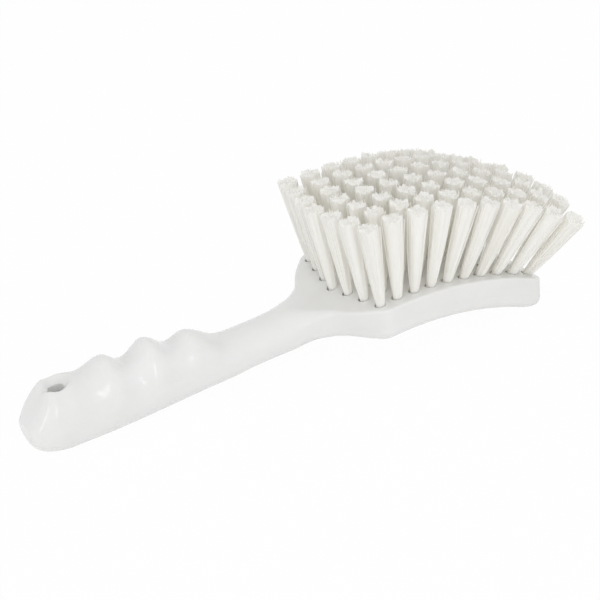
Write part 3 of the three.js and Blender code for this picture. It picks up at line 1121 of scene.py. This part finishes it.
    def hole_cutter(self) -> bpy.types.Object:
        """Turn the tool that cuts the hanging hole's bore and breaks its lower edge."""
        handle, (low, tall) = self.shape.handle, self.bore
        deselect()
        bpy.ops.mesh.primitive_cylinder_add(vertices=56, radius=1.0, depth=2.0)
        piece = bpy.context.object
        cut_edges(piece, Way.UP, 39)
        points = read_points(piece)
        height = low + tall * (points[:, 2] + 1.0) / 2.0
        near_foot = np.clip(1.0 - (height - low) / handle.foot_break_height, 0.0, 1.0)
        radius = handle.hole_radius + handle.foot_break * near_foot**2
        points = np.column_stack([
            self.shape.hole + points[:, 0] * radius, points[:, 1] * radius, height,
        ])
        write_points(piece, self.place.to_frame(points))
        return piece

    def tuft_cutter(self) -> bpy.types.Object:
        """Join the drills of every tuft hole in one tool."""
        layout = self.layout
        drills = []
        for tuft in self.tufts:
            deselect()
            low, high = -layout.hole_depth, 4.0
            bpy.ops.mesh.primitive_cylinder_add(
                vertices=20, radius=layout.hole_radius, depth=high - low,
                location=(0.0, 0.0, (low + high) / 2.0),
            )
            drill = bpy.context.object
            bpy.ops.object.transform_apply(location=True, rotation=True, scale=True)
            write_points(drill, self.place.to_frame(tuft.world(read_points(drill))))
            drills.append(drill)
        make_active(drills[0])
        for drill in drills:
            drill.select_set(True)
        bpy.ops.object.join()
        return bpy.context.object

    def build(self, material: bpy.types.Material) -> bpy.types.Object:
        """Make the moulding.

        Args:
            material: Its finish.

        Returns:
            The finished piece.
        """
        piece = self.blank(len(self.stations()))
        piece.name = piece.data.name = "moulding"
        self.skin(piece)
        face_outwards(piece)
        for cutter in (self.hole_cutter(), self.tuft_cutter()):
            apply_modifier(
                piece, "BOOLEAN", operation="DIFFERENCE", object=cutter, solver="EXACT"
            )
            remove(cutter)
        dress(piece, material, angle=38.0)
        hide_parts("handle_block")
        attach(piece, BODY)
        LOG.info("%s: %d faces", piece.name, len(piece.data.polygons))
        return piece


# ---------------------------------------------------------------- bristles


@dataclass
class TuftRow:
    """One row of ten tufts, each of filaments folded under an anchor."""

    number: int
    tufts: list[Tuft]
    layout: Field
    place: Place
    node: str
    filaments: int = 38
    thickness: float = 0.44
    length_spread: float = 0.55
    wander: float = 0.42
    stray_share: float = 0.02
    stray_reach: float = 3.2
    curl: float = 0.28
    dome: float = 0.05
    fold_rise: float = 4.2
    pulled: float = 0.4
    foot_radius: float = 2.05
    tip_radius: float = 5.1
    opening: float = 0.72
    leg_rings: int = 7
    fold_rings: int = 5
    heart_share: float = 0.94
    heart_sides: int = 26
    heart_rings: int = 7
    heart_foot: float = -3.0
    heart_top: float = 0.985
    heart_spread: float = 0.7

    def filament(self) -> bpy.types.Object:
        """Make one straight filament of four sides, cut into short lengths."""
        deselect()
        bpy.ops.mesh.primitive_cylinder_add(vertices=4, radius=1.0, depth=2.0)
        piece = bpy.context.object
        cut_edges(piece, Way.UP, 2 * self.leg_rings + self.fold_rings - 2)
        return piece

    def feet(self, random: np.random.Generator) -> np.ndarray:
        """Pack the filaments' feet into the half of the hole beside the anchor.

        Args:
            random: The tuft's random numbers.

        Returns:
            Rows of x and y, with x away from the anchor.
        """
        pitch = self.thickness * 1.03
        while True:
            lines = np.arange(0.0, self.foot_radius * 2.0, pitch * 0.866)
            grid = [
                (x + 0.3, y + (pitch / 2.0 if number % 2 else 0.0))
                for number, x in enumerate(lines)
                for y in np.arange(-3.0, 3.0, pitch)
            ]
            spots = np.array([spot for spot in grid if math.hypot(*spot) < self.foot_radius])
            if len(spots) <= self.filaments:
                break
            pitch *= 1.01
        pick = random.permutation(len(spots))
        extra = random.integers(0, len(spots), self.filaments - len(spots))
        spots = np.vstack([spots[pick], spots[extra] * 0.93])
        return spots + random.normal(0.0, 0.03, spots.shape)

    def leg(self, feet: np.ndarray, random: np.random.Generator) -> np.ndarray:
        """Lay each filament's leg from the face to its tip.

        Args:
            feet: Rows of x and y at the face.
            random: The tuft's random numbers.

        Returns:
            Points by filament, ring from foot to tip, and axis.
        """
        count = len(feet)
        length = self.layout.bristle_length + random.normal(0.0, self.length_spread, count)
        share = np.linspace(0.0, 1.0, self.leg_rings)
        flare = self.tip_radius / self.foot_radius - 1.0
        wander = random.normal(0.0, self.wander, (count, 2))
        stray = random.random(count) < self.stray_share
        wander[stray] *= self.stray_reach
        curl = random.normal(0.0, self.curl, (count, 2))
        open_up = 1.0 + flare * share**self.opening
        bend = share**2 - share
        flat = feet[:, None, :] * open_up[None, :, None]
        flat = flat + wander[:, None, :] * (share**1.4)[None, :, None]
        flat = flat + curl[:, None, :] * bend[None, :, None] * 2.0
        out = np.linalg.norm(flat[:, -1, :], axis=1)
        height = share[None, :] * (length - self.dome * out**1.5)[:, None]
        return np.dstack([flat, height])

    def centre_lines(self, random: np.random.Generator) -> np.ndarray:
        """Lay every folded filament of one tuft, tip to fold to tip, in the tuft's frame."""
        layout = self.layout
        near, far = self.feet(random), self.feet(random)
        near[:, 0] *= -1.0
        first = self.leg(near, random)[:, ::-1, :]
        second = self.leg(far, random)
        first[:, :, 0] += self.pulled
        second[:, :, 0] += self.pulled
        down = -layout.hole_depth + layout.gap
        turn = np.linspace(0.0, math.pi, self.fold_rings)
        side = -np.cos(turn)
        fold_x = np.where(side[None, :] < 0.0, near[:, :1], far[:, :1]) * np.abs(side)
        fold_y = near[:, 1:] + (far[:, 1:] - near[:, 1:]) * (side[None, :] + 1.0) / 2.0
        outer = np.abs(near[:, :1]) / self.foot_radius
        rest = down + layout.fold_thickness * (1.15 - outer)
        fold_z = rest + self.fold_rise * np.abs(side)[None, :] ** 3
        fold = np.dstack([fold_x, fold_y, fold_z])
        return np.concatenate([first, fold, second], axis=1)

    def hearts(self) -> tuple[bpy.types.Object, np.ndarray]:
        """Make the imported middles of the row's tufts, where the filaments touch.

        Returns:
            One mesh for the row, and its tone at each point.
        """
        deselect()
        bpy.ops.mesh.primitive_cylinder_add(
            vertices=self.heart_sides, radius=1.0, depth=2.0, end_fill_type="TRIFAN"
        )
        piece = bpy.context.object
        cut_edges(piece, Way.UP, self.heart_rings - 2)
        unit = read_points(piece)
        copy_in_line(piece, len(self.tufts))
        share = (unit[:, 2] + 1.0) / 2.0
        side = np.rint(np.arctan2(unit[:, 1], unit[:, 0]) / (2 * math.pi) * self.heart_sides)
        away = np.hypot(unit[:, 0], unit[:, 1])
        blocks, tones = [], []
        for tuft in self.tufts:
            random = np.random.default_rng(5000 + 100 * tuft.row + tuft.column)
            ragged = random.normal(0.0, self.heart_spread, self.heart_sides)
            flute = random.uniform(-0.07, 0.05, self.heart_sides)
            own = side.astype(int) % self.heart_sides
            top = self.layout.bristle_length * self.heart_top + ragged[own] * (away > 0.5)
            height = self.heart_foot + (top - self.heart_foot) * share
            rising = np.clip(height / self.layout.bristle_length, 0.0, 1.0)
            wide = self.foot_radius + (self.tip_radius - self.foot_radius) * rising**self.opening
            wide = wide * self.heart_share * (1.0 + flute[own])
            flat = unit[:, :2] * wide[:, None] + np.array([self.pulled, 0.0])
            blocks.append(tuft.world(np.column_stack([flat, height])))
            tones.append(np.where(away > 0.5, random.random(self.heart_sides)[own], 0.5))
        write_points(piece, self.place.to_frame(np.vstack(blocks)))
        return piece, np.concatenate(tones)

    def build(self, material: bpy.types.Material) -> bpy.types.Object:
        """Make the row.

        Args:
            material: The filaments' finish.

        Returns:
            The finished piece.
        """
        piece = self.filament()
        piece.name = piece.data.name = f"bristle_row_{self.number + 1}"
        pattern = read_points(piece)
        levels = 2 * self.leg_rings + self.fold_rings
        level = np.rint((pattern[:, 2] + 1.0) / 2.0 * (levels - 1)).astype(int)
        turn = np.arctan2(pattern[:, 1], pattern[:, 0])
        copy_in_line(piece, self.filaments * len(self.tufts))
        blocks, tones = [], []
        for tuft in self.tufts:
            random = np.random.default_rng(1000 * tuft.row + tuft.column + 7)
            lines = self.centre_lines(random)
            along = np.gradient(lines, axis=1)
            along /= np.linalg.norm(along, axis=2, keepdims=True)
            sideways = np.cross(along, np.array([0.0, 1.0, 0.0]))
            sideways /= np.linalg.norm(sideways, axis=2, keepdims=True)
            upright = np.cross(along, sideways)
            spin = random.uniform(0.0, math.pi, len(lines))[:, None] + turn[None, :]
            radius = self.thickness / 2.0
            points = lines[:, level, :]
            points = points + radius * np.cos(spin)[:, :, None] * sideways[:, level, :]
            points = points + radius * np.sin(spin)[:, :, None] * upright[:, level, :]
            blocks.append(tuft.world(points.reshape(-1, 3)))
            tones.append(np.repeat(random.random(len(lines)), len(pattern)))
        write_points(piece, self.place.to_frame(np.vstack(blocks)))
        hearts, heart_tones = self.hearts()
        tones.append(heart_tones)
        make_active(piece)
        hearts.select_set(True)
        bpy.ops.object.join()
        tone = piece.data.attributes.new("tone", "FLOAT", "POINT")
        tone.data.foreach_set("value", np.concatenate(tones))
        face_outwards(piece)
        dress(piece, material, angle=60.0)
        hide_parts(self.node)
        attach(piece, BODY)
        LOG.info("%s: %d faces", piece.name, len(piece.data.polygons))
        return piece


@dataclass
class EndAnchors:
    """The anchors at both ends of each row, which the frame has in one with their tufts."""

    tufts: list[Tuft]
    layout: Field
    place: Place

    def pattern(self) -> bpy.types.Object:
        """Make one anchor, a short flat wire with broken edges."""
        layout = self.layout
        low = -layout.hole_depth + 2.0 * layout.gap + layout.fold_thickness
        deselect()
        bpy.ops.mesh.primitive_cube_add(
            size=1.0, location=(0.0, 0.0, low + layout.anchor_height / 2.0),
            scale=(layout.anchor_thickness, layout.anchor_length, layout.anchor_height),
        )
        piece = bpy.context.object
        bpy.ops.object.transform_apply(location=True, rotation=True, scale=True)
        with edit_mode():
            bpy.ops.mesh.select_all(action="SELECT")
            bpy.ops.mesh.bevel(offset=0.09, segments=2)
        return piece

    def build(self, material: bpy.types.Material) -> None:
        """Make every end anchor.

        Args:
            material: The wire's finish.
        """
        pattern = self.pattern()
        shape = read_points(pattern)
        for tuft in self.tufts:
            make_active(pattern)
            bpy.ops.object.duplicate(linked=False)
            piece = bpy.context.object
            piece.name = piece.data.name = f"end_anchor_{tuft.row + 1}_{tuft.column + 1}"
            write_points(piece, self.place.to_frame(tuft.world(shape)))
            dress(piece, material, angle=40.0)
            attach(piece, BODY)
        remove(pattern)
        LOG.info("end anchors: %d", len(self.tufts))


# ---------------------------------------------------------------- studio


@dataclass(frozen=True)
class Lamp:
    """A soft rectangular lamp that looks at the brush, in metres and watts."""

    name: str
    place: Triple
    size: tuple[float, float]
    power: float
    shines: bool = True

    def hang(self, target: Vector) -> None:
        """Put the lamp in the scene, turned to the target."""
        data = bpy.data.lights.new(self.name, "AREA")
        data.shape = "RECTANGLE"
        data.size, data.size_y = self.size
        data.energy = self.power
        lamp = bpy.data.objects.new(self.name, data)
        bpy.context.collection.objects.link(lamp)
        lamp.location = self.place
        lamp.visible_glossy = self.shines
        aim = target - Vector(self.place)
        lamp.rotation_euler = aim.to_track_quat("-Z", "Y").to_euler()


@dataclass
class Studio:
    """Camera, lamps, floor and surroundings."""

    eye: Triple = (-0.2595, -0.5127, 0.3275)
    right: Triple = (0.85923, -0.5, -0.10831)
    up: Triple = (0.31602, 0.35225, 0.88095)
    forward: Triple = (0.40232, 0.79115, -0.46067)
    lens: float = 79.23
    surround: float = 0.68
    bounces: int = 16
    floor_glow: float = 0.97
    lamp_target: Triple = (0.0, 0.0, 0.03)
    lamps: tuple[Lamp, ...] = (
        Lamp("front", (-0.6, -1.15, 0.5), (1.1, 1.0), 2.0, shines=False),
        Lamp("right", (0.95, -0.95, 0.45), (0.5, 0.9), 1.0, shines=False),
        Lamp("overhead", (0.1, 0.1, 1.3), (1.0, 1.0), 1.7, shines=False),
        Lamp("left_strip", (-1.05, -0.5, 0.35), (0.05, 0.8), 1.3),
        Lamp("right_strip", (-0.2, -1.3, 0.4), (0.05, 0.8), 1.1),
    )

    def camera(self) -> None:
        """Set the camera up."""
        data = bpy.data.cameras.new("camera")
        data.lens = self.lens
        data.sensor_width = 36.0
        data.clip_start = 0.02
        camera = bpy.data.objects.new("camera", data)
        bpy.context.collection.objects.link(camera)
        back = [-value for value in self.forward]
        matrix = Matrix.Identity(4)
        for column, vector in enumerate((self.right, self.up, back, self.eye)):
            for line in range(3):
                matrix[line][column] = vector[line]
        camera.matrix_world = matrix
        bpy.context.scene.camera = camera

    def world(self) -> None:
        """Make soft surroundings that the camera sees as white."""
        world = bpy.data.worlds.new("studio")
        bpy.context.scene.world = world
        world.use_nodes = True
        nodes = Nodes(world.node_tree)
        light = world.node_tree.nodes["Background"]
        output = world.node_tree.nodes["World Output"]
        light.inputs["Color"].default_value = (1.0, 1.0, 1.0, 1.0)
        light.inputs["Strength"].default_value = self.surround
        white = nodes.add("ShaderNodeBackground", Strength=1.0)
        white.inputs["Color"].default_value = (1.0, 1.0, 1.0, 1.0)
        mix = nodes.add("ShaderNodeMixShader")
        nodes.join(self.seen(nodes), 0, mix, 0)
        nodes.join(light, 0, mix, 1)
        nodes.join(white, 0, mix, 2)
        nodes.join(mix, 0, output, "Surface")

    def seen(self, nodes: Nodes) -> bpy.types.Node:
        """Add the test whose output is 1 where a ray comes from the camera, a mirror or glass."""
        path = nodes.add("ShaderNodeLightPath")
        first = nodes.add("ShaderNodeMath", operation="MAXIMUM")
        second = nodes.add("ShaderNodeMath", operation="MAXIMUM")
        nodes.join(path, "Is Camera Ray", first, 0)
        nodes.join(path, "Is Transmission Ray", first, 1)
        nodes.join(first, 0, second, 0)
        nodes.join(path, "Is Glossy Ray", second, 1)
        return second

    def floor(self) -> None:
        """Lay a plain pale floor that keeps a faint shadow."""
        deselect()
        bpy.ops.mesh.primitive_plane_add(size=12.0)
        floor = bpy.context.object
        floor.name = "floor"
        material, nodes, shader = start_material("floor")
        shader.inputs["Base Color"].default_value = (0.9, 0.9, 0.9, 1.0)
        shader.inputs["Roughness"].default_value = 0.9
        shader.inputs["Specular IOR Level"].default_value = 0.1
        glow = nodes.add("ShaderNodeEmission", Strength=1.0)
        mix = nodes.add("ShaderNodeMixShader")
        share = nodes.add("ShaderNodeMath", operation="MULTIPLY")
        share.inputs[1].default_value = self.floor_glow
        output = material.node_tree.nodes["Material Output"]
        nodes.join(self.seen(nodes), 0, share, 0)
        nodes.join(share, 0, mix, 0)
        nodes.join(shader, 0, mix, 1)
        nodes.join(glow, 0, mix, 2)
        nodes.join(mix, 0, output, "Surface")
        floor.data.materials.append(material)

    def build(self) -> None:
        """Set the whole studio up."""
        scene = bpy.context.scene
        scene.view_settings.view_transform = "Standard"
        scene.cycles.max_bounces = scene.cycles.diffuse_bounces = self.bounces
        self.camera()
        for lamp in self.lamps:
            lamp.hang(Vector(self.lamp_target))
        self.world()
        self.floor()
        LOG.info("studio set")


# ---------------------------------------------------------------- the brush


@dataclass
class Brush:
    """The whole hand brush."""

    handle: Handle = field(default_factory=Handle)
    head: Head = field(default_factory=Head)
    layout: Field = field(default_factory=Field)

    def node_of(self, row: int) -> str:
        """Name the frame's node that holds a row's tufts."""
        if row < 2:
            return "tufts_right"
        return "tufts_middle" if row < 5 else "tufts_left"

    def build(self, finishes: Finishes) -> None:
        """Make and dress every piece.

        Args:
            finishes: The materials.
        """
        shape = Shape(self.handle, self.head)
        low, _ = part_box("handle_block")
        place = Place(low[0] / MM - shape.butt)
        tufts = lay_out_tufts(shape, self.layout)
        Moulding(shape, place, tufts, self.layout).build(finishes.moulding)
        for row in range(self.layout.rows):
            own = [tuft for tuft in tufts if tuft.row == row]
            TuftRow(row, own, self.layout, place, self.node_of(row)).build(finishes.bristle)
        ends = [tuft for tuft in tufts if tuft.column in (0, self.layout.columns - 1)]
        EndAnchors(ends, self.layout, place).build(finishes.wire)


def dress_anchors(frame: dict, material: bpy.types.Material) -> None:
    """Give the frame's anchors their finish.

    Args:
        frame: The loaded frame.
        material: The wire's finish.
    """
    count = 0
    for name, node in frame["nodes"].items():
        if name.startswith("anchor_"):
            node.data.materials.clear()
            node.data.materials.append(material)
            count += 1
    LOG.info("packed anchors: %d", count)


def main() -> None:
    """Build the brush and its studio in order."""
    logging.basicConfig(level=logging.INFO, format="%(name)s %(message)s")
    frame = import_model()
    deselect()
    finishes = Finishes.build()
    Studio().build()
    Brush().build(finishes)
    dress_anchors(frame, finishes.wire)
    LOG.info("sizes written")


if __name__ == "__main__":
    main()
